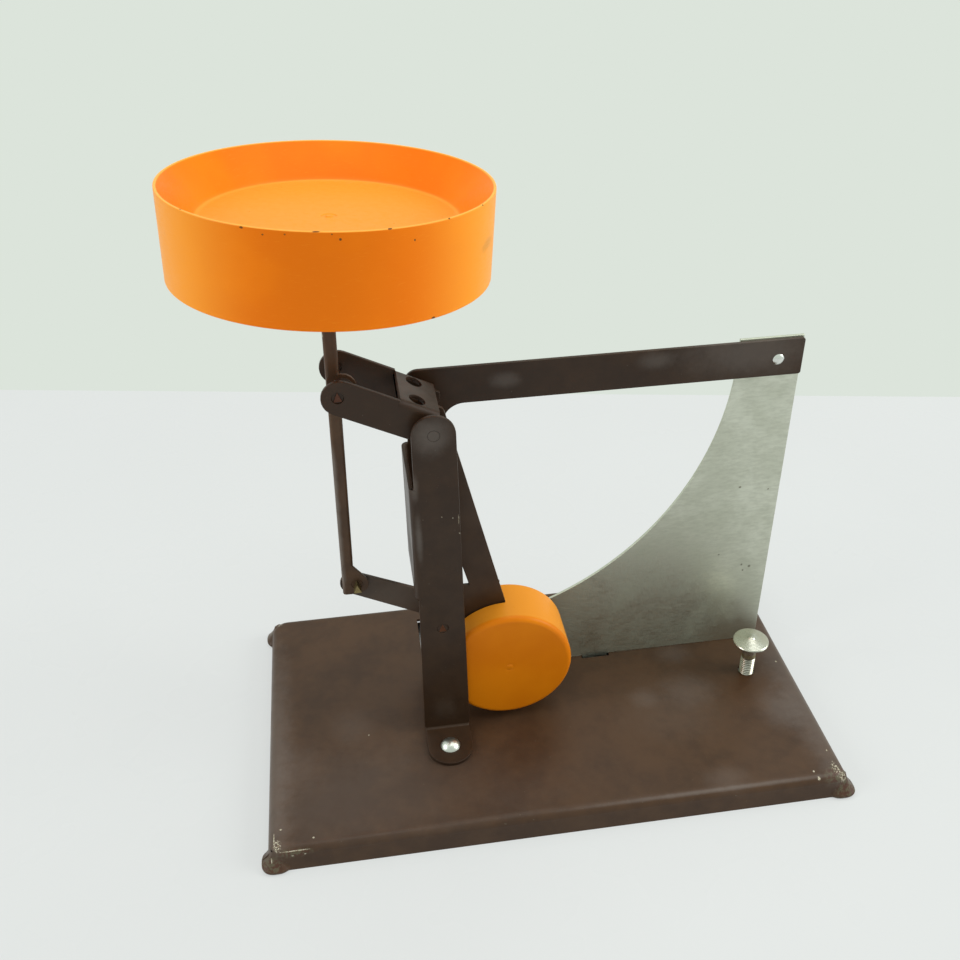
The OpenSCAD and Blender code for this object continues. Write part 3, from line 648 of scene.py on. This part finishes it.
def makePan():
    p = panSet
    # the inner wall is a straight cone, with a small fillet at the floor
    wallAngle = atan2(p["depth"] - p["lip"], p["mouth"] - p["floor"])
    rise, run = sin(wallAngle), cos(wallAngle)
    inside = [(p["mouth"], -p["lip"])]
    for i in range(p["filletSteps"] + 1):
        part, rest = i / p["filletSteps"], 1 - i / p["filletSteps"]
        inside.append((p["floor"] + p["fillet"] * (run * rest ** 2 - part ** 2),
                       -p["depth"] + p["fillet"] * rise * rest ** 2))
    skirtInside, floorUnder = p["skirtLow"] - p["wall"], -p["depth"] - p["wall"]
    reach = (skirtInside + p["underLip"] - p["floor"] - p["wall"] * rise) / run
    under = [(p["floor"] + p["wall"] * (rise - (1 - run) / rise * run), floorUnder),
             (skirtInside + p["underLip"], -p["depth"] - p["wall"] * run + reach * rise)]
    low = -p["skirt"] - p["bossHeight"]
    profile = [(0, low), (p["boss"] - p["bossEdge"], low), (p["boss"], low + p["bossEdge"]),
               (p["boss"], floorUnder - p["bossFillet"]), (p["boss"] + p["bossFillet"], floorUnder)]
    profile += under + [(skirtInside, -p["skirt"]), (p["skirtLow"], -p["skirt"]), (p["rim"], -p["rimRound"])]
    profile += arcPoints((p["rim"] - p["rimRound"], -p["rimRound"]), p["rimRound"], 18, 90, 4)[1:]
    profile += [(p["mouth"] + p["land"], 0)] + inside
    profile += [(radius, height - p["depth"]) for radius, height in p["centreMark"]]
    pan = turned("weighingPan", profile, p["steps"])
    softenEdges(pan, p["soft"], 50, 3)
    place(pan, layout["panLean"], layout["panRim"])
    # the stem's socket: its width and depth, how far its middle is left of the pivot, and how deep it goes in
    width, depth, inset, deep = p["stem"]
    stemFront, high = layout["panRim"][1] - panFrom["stem"], layout["panRim"][2] - p["skirt"] + deep - footZ
    socket = block("socketCutter", (-width / 2 - p["fit"], stemFront - p["fit"], high - p["socket"]),
                   (width / 2 + p["fit"], stemFront + depth + p["fit"], high))
    place(socket, (0, layout["stemLean"], 0), (footX - inset, 0, footZ))
    cutAway(pan, socket)
    finish(pan, "panPlastic")
    settle(pan, "pan_stem", ["pan_dish"], 18)


# The disc's cover
discSet = {"radius": 25.3, "depth": 21.2, "wall": 2.2, "edge": 2.2, "soft": 0.3, "slot": (-1.85, 6.1),
           "slotLow": 5.0, "slotHigh": 26, "centreMark": ((0, 0.0), (1.1, 0.0), (1.5, 0.16), (2.4, 0.0)),
           "steps": 128, "lower": 1.0, "left": 0.3}


def makeDisc():
    d = discSet
    bore = d["radius"] - d["wall"]
    profile = list(d["centreMark"])
    profile += arcPoints((d["radius"] - d["edge"], d["edge"]), d["edge"], -90, 0, 12)
    profile += [(d["radius"], d["depth"]), (bore, d["depth"]), (bore, d["wall"]), (0, d["wall"])]
    disc = turned("discCap", profile, d["steps"])
    softenEdges(disc, d["soft"], 50, 3)
    x, z = layout["disc"][0] - d["left"], layout["disc"][1] - d["lower"]
    place(disc, (-90, 0, 0), (x, layout["discFront"], z))
    slotY, slotWidth = d["slot"]
    cutter = block("slotCutter", (x - d["radius"], slotY, z + d["slotLow"]),
                   (x, slotY + slotWidth, z + d["slotHigh"]))
    cutAway(disc, cutter)
    finish(disc, "discShadedPlastic")
    settle(disc, "beam", ["disc_cover"], 30)


# The pressed base
baseSet = {"sheet": 1.2, "edge": 3.5, "corner": 5.0, "rearCorner": 7.0, "segments": 8, "weld": 0.00001,
           "soft": 0.18, "ear": 5.5, "earPower": 2.7, "earTop": 9.4, "earLip": 1.5, "throat": 1.2, "curl": 0.6,
           "flarePower": 1.7, "flareStart": -3, "fallOff": 1.6, "draft": 1.1, "draftTop": 6.6,
           "fine": 12.0, "insets": (2.0, 4.0, 6.0, 8.0, 10.0, 12.0),
           "heights": (0.4, 0.9, 1.5, 2.1, 2.8, 3.5, 4.2, 4.9, 5.6, 6.2),
           "window": (-43.762, 18.3, -32.762, 55.3), "slit": (25.572, 17.8, 37.772, 20.8), "openings": (4, 14),
           "rivetHole": 2.02, "screwHole": 3.4, "tongue": (17.9, 30), "tongueSoft": 0.15}


def makeBase():
    b = baseSet
    left, right, front, rear, top = layout["base"]
    base = block("baseTray", (left, front, 0), (right, rear, top))
    for way, corner in ((-1, b["corner"]), (1, b["rearCorner"])):
        pick(base, "EDGE", lambda p, q: abs(p.z - q.z) > mm and p.y * way > 0)
        bpy.ops.mesh.bevel(offset=corner * mm, segments=b["segments"])
    pick(base, "EDGE", lambda p, q: p.z > (top - 0.01) * mm and q.z > (top - 0.01) * mm)
    bpy.ops.mesh.bevel(offset=b["edge"] * mm, segments=b["segments"], clamp_overlap=False)
    selectAll()
    bpy.ops.mesh.remove_doubles(threshold=b["weld"])
    # finer faces at the corners, for the ears
    for inset in b["insets"]:
        for x, way in ((left + inset, 1), (right - inset, -1)):
            cutPlane((x * mm, 0, 0), (way, 0, 0))
        for y, way in ((front + inset, 1), (rear - inset, -1)):
            cutPlane((0, y * mm, 0), (0, way, 0))
    for z in b["heights"]:
        cutPlane((0, 0, z * mm), (0, 0, 1))
    pick(base, "FACE", lambda c, n: n.z < -0.9)
    bpy.ops.mesh.delete(type="FACE")
    middleX, reachX, reachY = (left + right) / 2, (right - left) / 2 - b["fine"], rear - b["fine"]
    pick(base, "FACE", lambda c, n: abs(c.x / mm - middleX) > reachX and abs(c.y / mm) > reachY
         and abs(n.z) < 0.9)
    bpy.ops.mesh.subdivide(number_cuts=2)
    goTo("OBJECT")
    flareCorners(base)
    modify(base, "SOLIDIFY", thickness=b["sheet"] * mm, offset=-1)
    low, high = b["openings"]
    for opening in ("window", "slit"):
        x1, y1, x2, y2 = b[opening]
        cutAway(base, block(opening + "Cutter", (x1, y1, low), (x2, y2, high)))
    for x, y, r in ((*boxOf("foot_rivet")[2].xy, b["rivetHole"]), (*layout["screw"], b["screwHole"])):
        hole = turned("holeCutter", [(0, -5), (r, -5), (r, 30), (0, 30)], 48)
        place(hole, (0, 0, 0), (x, y, 0))
        cutAway(base, hole)
    softenEdges(base, b["soft"], 50)
    # no vertex is left below the table
    for vertex in base.data.vertices:
        vertex.co.z = max(0.0, vertex.co.z)
    tongue = makeTongue()
    selectOnly(base)
    tongue.select_set(True)
    bpy.ops.object.join()
    finish(base, "baseEnamel")
    settle(base, "frame", ["base_tray"], 34)


def flareCorners(base):
    # each corner of the pressing flows out, like the mouth of a bell, into a squarish ear at the table
    b = baseSet
    left, right, front, rear = layout["base"][:4]
    earLeft, earRight, earFront, earRear = layout["ears"]
    for vertex in base.data.vertices:
        x, y, z = vertex.co / mm
        sideX = 1 if x > (left + right) / 2 else -1
        sideY = 1 if y > 0 else -1
        # the sides lean out towards the table
        lean = b["draft"] * max(0.0, 1 - z / b["draftTop"]) / b["corner"]
        x += sideX * lean * max(0.0, b["corner"] - (right - x if sideX > 0 else x - left))
        y += sideY * lean * max(0.0, b["corner"] - (rear - y if sideY > 0 else y - front))
        vertex.co.x, vertex.co.y = x * mm, y * mm
        centreX = (earRight if sideX > 0 else earLeft) - sideX * b["ear"]
        centreY = (earRear if sideY > 0 else earFront) - sideY * b["ear"]
        outX, outY = (x - centreX) * sideX, (y - centreY) * sideY
        if z > b["earTop"] or max(outX, outY) < b["flareStart"] or sqrt(outX ** 2 + outY ** 2) > b["fine"]:
            continue
        flow = min(1.0, (b["earTop"] - z) / (b["earTop"] - b["earLip"])) ** b["flarePower"]
        ear = b["throat"] + (b["ear"] - b["throat"]) * flow - b["curl"] * max(0.0, 1 - z / b["earLip"]) ** 2
        if outX > 0 and outY > 0:
            away = (outX ** b["earPower"] + outY ** b["earPower"]) ** (1 / b["earPower"])
            grown = away + swell(ear - away)
            outX, outY = outX * grown / away, outY * grown / away
        elif outY <= 0 and outX > 0:
            outX += swell(arcReach(ear, outY) - outX)
        elif outX <= 0 and outY > 0:
            outY += swell(arcReach(ear, outX) - outY)
        vertex.co.x, vertex.co.y = (centreX + outX * sideX) * mm, (centreY + outY * sideY) * mm


def arcReach(radius, across):
    # how far a squarish circle reaches at a distance across from its middle, falling off beyond its edge
    if abs(across) >= radius:
        return baseSet["fallOff"] * (radius - abs(across))
    power = baseSet["earPower"]
    return (radius ** power - abs(across) ** power) ** (1 / power)


def swell(gap, soft=0.35):
    # the larger of nothing and the gap, with a soft bend between them
    return soft * log(1 + exp(max(-30.0, min(30.0, gap / soft))))


def makeTongue():
    # lanced out of the window and bent up behind the rear plate
    tongue = softCopy("base_tray", "tongue", baseSet["tongueSoft"])
    x1, y1, x2, y2 = baseSet["window"]
    front, rear = baseSet["tongue"]
    goTo("EDIT")
    for x, way in ((x1, 1), (x2, -1)):
        cutPlane((x * mm, 0, 0), (way, 0, 0), clear_inner=True, use_fill=True)
    for y, way in ((front, 1), (rear, -1)):
        cutPlane((0, y * mm, 0), (0, way, 0), clear_inner=True, use_fill=True)
    goTo("OBJECT")
    return tongue


# Sheet metal
# node: name, width of its eased edges, body, slot
sheetSet = {"pillar_frame": ("pillar", 0.3, "frame", "frame_enamel"),
            "scale_plate": ("scalePlate", 0.18, "frame", "plate_aluminium"),
            "beam_yoke": ("beamYoke", 0.25, "beam", "frame_enamel"),
            "pendulum_arm": ("pendulumArm", 0.25, "beam", "frame_enamel"),
            "stem_channel": ("stemChannel", 0.18, "pan_stem", "frame_enamel"),
            "link_strap": ("linkStrap", 0.25, "link", "frame_enamel"),
            "index_hand": ("indexHand", 0.1, "beam", "hand_enamel")}


def makeSheets():
    for node, (name, width, body, slotName) in sheetSet.items():
        piece = softCopy(node, name, width)
        finish(piece, finishOf[node])
        settle(piece, body, [node], 32)


# Paint that fills the round seat of each fixed knife edge
# node of the knife: body, finish, and the two Y faces of each filled seat
seatSet = {"main_knife": ("frame", "pillarEnamel", ((-13.72, -12.4), (17.9, 19.15))),
           "lower_knife": ("frame", "pillarEnamel", ((-13.55, -12.4), (17.9, 19.15))),
           "beam_knife": ("beam", "beamEnamel", ((-8.95, -8.1), (12.9, 13.75))),
           "stem_knife": ("pan_stem", "stemEnamel", ((-0.3, 0.6),))}
seatShape = {"radius": 2.1, "faceEdge": 0.1, "sideEdge": 0.02, "edgeRise": 0.08, "steps": 40}


def makeSeats():
    radius, side = seatShape["radius"], seatShape["radius"] - seatShape["sideEdge"]
    for node, (body, finishName, faces) in seatSet.items():
        x, z = knifeEdge(node)
        for number, (near, far) in enumerate(faces):
            profile = [(0, 0), (radius - seatShape["faceEdge"], 0), (side, seatShape["edgeRise"]),
                       (side, far - near), (0, far - near)]
            filled = turned(node.split("_")[0] + "KnifePaint" + str(number), profile, seatShape["steps"])
            place(filled, (-90, 0, 0), (x, near, z - radius))
            finish(filled, finishName)
            settle(filled, body)


# Rivets
# node: name, body, shank, head, head height, grip, tail, tail height, and whether it stands upright
rivetSet = {"foot_rivet": ("footRivet", "frame", 2.0, 3.9, 2.5, 2.7, 3.2, 1.2, True),
            "plate_rivet": ("plateRivet", "frame", 1.5, 2.2, 0.8, 2.7, 2.4, 0.8, False),
            "tongue_rivet": ("tongueRivet", "frame", 2.0, 3.0, 1.2, 2.7, 2.8, 0.9, False),
            "weight_rivet": ("weightRivet", "beam", 2.0, 3.4, 1.4, 6.7, 3.2, 0.8, False)}
rivetShape = {"headEdge": 0.15, "tailEdge": 0.3, "domeSteps": 14, "steps": 48}


def makeRivets():
    for node, (name, body, shank, snap, height, grip, tail, tailHeight, upright) in rivetSet.items():
        dome = (snap * snap + height * height) / (2 * height)
        start = asin(snap / dome)
        count, bottom = rivetShape["domeSteps"], -grip - tailHeight
        angles = [start * (1 - i / count) for i in range(count + 1)]
        top = [(dome * sin(a), height - dome * (1 - cos(a))) for a in angles]
        profile = [(0, bottom), (tail - rivetShape["tailEdge"], bottom),
                   (tail, bottom + rivetShape["tailEdge"]), (tail, -grip), (shank, -grip),
                   (shank, 0), (snap - rivetShape["headEdge"], 0)] + top
        profile[-1] = (0, profile[-1][1])
        rivet = turned(name, profile, rivetShape["steps"])
        low, high, middle = boxOf(node)
        if upright:
            place(rivet, (0, 0, 0), (middle.x, middle.y, high.z - height))
        else:
            place(rivet, (90, 0, 0), (middle.x, low.y + height, middle.z))
        finish(rivet, "rivetAluminium")
        settle(rivet, body, [node], 40)


# Levelling screw
# crest: in from the radius, and up in a turn
# headEdge: in from the head's radius, and up from the collar's top; headCone: radius, and up from there
# knurlBand: in, out, below and above the collar's face
screwSet = {"radius": 3.0, "root": 2.35, "pitch": 1.0, "threadLow": 2.0, "turns": 16, "tip": (0.6, 0.9),
            "crest": ((0.06, 0.42), (0, 0.5), (0.06, 0.58)), "neck": 2.95, "ease": 0.25,
            "collar": 3.35, "collarLow": 21.9, "collarHigh": 25.8, "collarEase": 0.1,
            "head": 7.4, "headEdge": ((0.7, 0.25), (0.2, 0.45), (0, 0.75), (0, 1.15), (0.35, 1.5)),
            "headCone": ((3.6, 2.0), (2.0, 2.35), (1.55, 2.5), (1.3, 2.8), (0.8, 3.0), (0, 3.05)),
            "knurls": 26, "knurlBand": (0.3, 0.1, 0.1, 0.05), "knurlWidth": 0.13, "knurlIn": 0.9, "lift": 0.2}


def makeScrew():
    s = screwSet
    tipIn, tipUp = s["tip"]
    profile = [(0, 0), (s["root"] - tipIn, 0), (s["root"], tipUp), (s["root"], s["threadLow"])]
    for i in range(s["turns"]):
        z = s["threadLow"] + s["pitch"] * i
        profile += [(s["radius"] - inward, z + up) for inward, up in s["crest"]]
        profile.append((s["root"], z + s["pitch"]))
    low, high = s["collarLow"], s["collarHigh"]
    profile += [(s["neck"], profile[-1][1] + s["ease"]), (s["neck"], low), (s["collar"], low + s["ease"]),
                (s["collar"], high - s["collarEase"])]
    profile += [(s["head"] - inward, high + up) for inward, up in s["headEdge"]]
    profile += [(radius, high + up) for radius, up in s["headCone"]]
    screw = turned("levellingScrew", profile, s["knurls"] * 4)
    pitchAngle = 2 * pi / s["knurls"]
    inner, outer, below, above = s["knurlBand"]

    def onCollar(co):
        radius = sqrt(co.x ** 2 + co.y ** 2) / mm
        return s["collar"] - inner < radius < s["collar"] + outer and low - below < co.z / mm < high + above

    for vertex in screw.data.vertices:
        if onCollar(vertex.co):
            turn = atan2(vertex.co.y, vertex.co.x) / pitchAngle
            if abs(turn - round(turn)) < s["knurlWidth"]:
                vertex.co.x *= s["knurlIn"]
                vertex.co.y *= s["knurlIn"]
    place(screw, (0, 0, 0), (*layout["screw"], s["lift"]))
    finish(screw, "screwSteel")
    settle(screw, "screw", ["levelling_screw"], 30)


# Marks on the far face of the plate
# angles in degrees, loads in grams, lengths in mm
scaleSet = {"start": 13.2, "beamStart": 26.4, "mostTurn": 62.0, "halvings": 40, "momentGrams": 436.0,
            "last": 340, "step": 10, "major": 50, "edgeOut": 2.0, "gap": 0.9, "short": 2.6, "long": 5.2,
            "thick": 0.35, "raise": 0.04, "figure": 4.6, "figureOut": 9.3}


def turnForLoad(grams):
    # the pendulum turns until its moment balances the load on the beam
    s = scaleSet
    low, high = 0.0, s["mostTurn"]
    idle = sin(radians(s["start"])) / cos(radians(s["beamStart"]))
    for _ in range(s["halvings"]):
        middle = (low + high) / 2
        held = sin(radians(s["start"] + middle)) / cos(radians(s["beamStart"] - middle)) - idle
        low, high = (middle, high) if held * s["momentGrams"] < grams else (low, middle)
    return low


def markFinish():
    shader = newMaterial("scaleInk")
    spot = where()
    worn = fitRange(noise(spot, 0.8, 4, 0.65), 0.55, 0.8, 0, 0.5)
    feed(shader, colour=blendColour(worn, (0.02, 0.018, 0.016, 1), (0.12, 0.12, 0.11, 1)),
         rough=fitRange(noise(spot, 1.5, 2), 0.3, 0.7, 0.4, 0.6, "LINEAR"))


def makeScale():
    s = scaleSet
    markFinish()
    pieces = []
    cx, cz = layout["mainPivot"]
    back = layout["plateBack"]
    readingRadius = sqrt((layout["disc"][0] - cx) ** 2 + (layout["disc"][1] - cz) ** 2) + s["edgeOut"]
    model = block("tickModel", (-s["thick"] / 2, back, -1), (s["thick"] / 2, back + s["raise"], 0))
    for grams in range(0, s["last"] + 1, s["step"]):
        angle = radians(s["start"] + turnForLoad(grams))
        length = s["long"] if grams % s["major"] == 0 else s["short"]
        tick = model.copy()
        tick.data = model.data.copy()
        bpy.context.collection.objects.link(tick)
        reach = readingRadius + s["gap"]
        tick.matrix_world = (Matrix.Translation((cx * mm, 0, cz * mm)) @ Matrix.Rotation(-angle, 4, "Y")
                             @ Matrix.Translation((0, 0, -reach * mm)) @ Matrix.Diagonal((1, 1, length, 1)))
        pieces.append(tick)
        if grams % s["major"] == 0:
            selectNone()
            bpy.ops.object.text_add(location=(0, 0, 0))
            figure = bpy.context.object
            figure.data.body = str(grams)
            figure.data.size = s["figure"] * mm
            figure.data.extrude = s["raise"] / 2 * mm
            figure.data.align_x, figure.data.align_y = "CENTER", "CENTER"
            bpy.ops.object.convert(target="MESH")
            figure = bpy.context.object
            out = readingRadius + s["figureOut"]
            middle = (cx + out * sin(angle)) * mm, (back + s["raise"] / 2) * mm, (cz - out * cos(angle)) * mm
            facing = Euler((radians(90), 0, radians(180)), "XYZ").to_matrix().to_4x4()
            figure.matrix_world = Matrix.Translation(middle) @ facing
            pieces.append(figure)
    bpy.data.objects.remove(model)
    selectNone()
    for piece in pieces:
        piece.select_set(True)
        bpy.context.view_layer.objects.active = piece
        applyPlace()
        piece.select_set(False)
    for piece in pieces:
        piece.select_set(True)
    bpy.ops.object.join()
    scale = bpy.context.object
    scale.name = "scaleMarks"
    finish(scale, "scaleInk")
    settle(scale, "frame")


makePan()
makeDisc()
makeBase()
makeSheets()
makeSeats()
makeRivets()
makeScrew()
makeScale()
print("pieces ready")

# Table, wall and light
# the table's far edge runs through two points, in mm; its reach to the sides and to the front is in metres
stageSet = {"edgeLeft": (-292.0, 337.6), "edgeRight": (315.6, 220.4), "reach": (3, 3.2), "insideBase": 1,
            "table": (0.745, 0.785, 0.772, 1), "tableShade": 0.97, "tableRough": (0.24, 0.32),
            "tableSpecular": 0.3, "tableSeen": (0.70, 0.72, 0.715, 1), "seenShare": 0.7,
            "wall": linear(220, 228, 219),
            "worldLight": 0.51, "worldTone": (0.98, 1.0, 0.97, 1), "lampTone": (1.0, 1.0, 0.97)}


def seenDirectly():
    path = put("LightPath")
    mirrored = sums("MAXIMUM", path.outputs["Is Glossy Ray"], path.outputs["Is Transmission Ray"])
    return sums("MAXIMUM", path.outputs["Is Camera Ray"], mirrored)


def makeTable():
    selectNone()
    bpy.ops.mesh.primitive_plane_add(size=1, location=(0, 0, 0))
    table = bpy.context.object
    table.name = "table"
    a, b = Vector((*stageSet["edgeLeft"], 0)) * mm, Vector((*stageSet["edgeRight"], 0)) * mm
    along = (b - a).normalized()
    near = Vector((along.y, -along.x, 0))
    middle = (a + b) / 2
    wide, deep = stageSet["reach"]
    corners = [middle - wide * along + deep * near, middle + wide * along + deep * near,
               middle - wide * along, middle + wide * along]
    for vertex, corner in zip(table.data.vertices, corners):
        vertex.co = corner
    shader = newMaterial("tableWhite")
    spot = where()
    tone = fitRange(noise(spot, 0.006, 4, 0.6), 0.35, 0.7)
    light = stageSet["table"]
    smooth, dull = stageSet["tableRough"]
    feed(shader, colour=blendColour(tone, dimmed(light, stageSet["tableShade"]), light),
         rough=fitRange(noise(spot, 0.02, 3), 0.3, 0.7, smooth, dull, "LINEAR"))
    shader.inputs["Specular IOR Level"].default_value = stageSet["tableSpecular"]
    # seen by the camera, or mirrored, the table has an even tone under its shadows
    even = put("Emission", {"Color": stageSet["tableSeen"], "Strength": 1.0}).outputs[0]
    share = times(seenDirectly(), stageSet["seenShare"])
    # but not inside the hollow base, where it stays dark
    left, right, front, rear = layout["base"][:4]
    centre = ((left + right) / 2, (front + rear) / 2, 0)
    halves = ((right - left) / 2 - stageSet["insideBase"], (rear - front) / 2 - stageSet["insideBase"], 1)
    away = put("VectorMath", {0: spot, 1: centre}, operation="SUBTRACT").outputs[0]
    scaled = put("VectorMath", {0: away, 1: halves}, operation="DIVIDE").outputs[0]
    sides = put("SeparateXYZ", {0: put("VectorMath", {0: scaled}, operation="ABSOLUTE").outputs[0]})
    outside = sums("GREATER_THAN", sums("MAXIMUM", sides.outputs["X"], sides.outputs["Y"]), 1.0)
    share = times(share, outside)
    mixed = put("MixShader", {0: share, 1: shader.outputs[0], 2: even}).outputs[0]
    tree.links.new(mixed, tree.nodes["Material Output"].inputs["Surface"])
    finish(table, "tableWhite")


def makeWorld():
    global tree
    world = bpy.data.worlds.new("room")
    bpy.context.scene.world = world
    world.use_nodes = True
    tree = world.node_tree
    tree.nodes.clear()
    seen = seenDirectly()
    light = put("Background", {"Color": stageSet["worldTone"], "Strength": stageSet["worldLight"]}).outputs[0]
    wall = put("Background", {"Color": stageSet["wall"], "Strength": 1.0}).outputs[0]
    mixed = put("MixShader", {0: seen, 1: light, 2: wall}).outputs[0]
    out = tree.nodes.new("ShaderNodeOutputWorld")
    tree.links.new(mixed, out.inputs[0])


# place, aim and size in metres, then power in watts
lampSet = {"overhead": ((0.1, 0.2, 1.6), (0.0, 0.0, 0.1), 1.8, 13),
           "right": ((1.5, -0.3, 0.9), (0, 0, 0.15), 1.0, 19),
           "left": ((-1.5, -0.2, 0.9), (0, 0, 0.15), 1.0, 12)}


def makeLamps():
    for name, (spot, aim, size, power) in lampSet.items():
        bpy.ops.object.light_add(type="AREA", location=spot)
        lamp = bpy.context.object
        lamp.name = name
        lamp.data.shape = "DISK"
        lamp.data.size = size
        lamp.data.energy = power
        lamp.data.color = stageSet["lampTone"]
        lamp.rotation_euler = (Vector(aim) - Vector(spot)).to_track_quat("-Z", "Y").to_euler()


makeTable()
makeWorld()
makeLamps()
bpy.context.scene.view_settings.view_transform = "Standard"
print("stage ready")

selectNone()
bpy.context.view_layer.update()
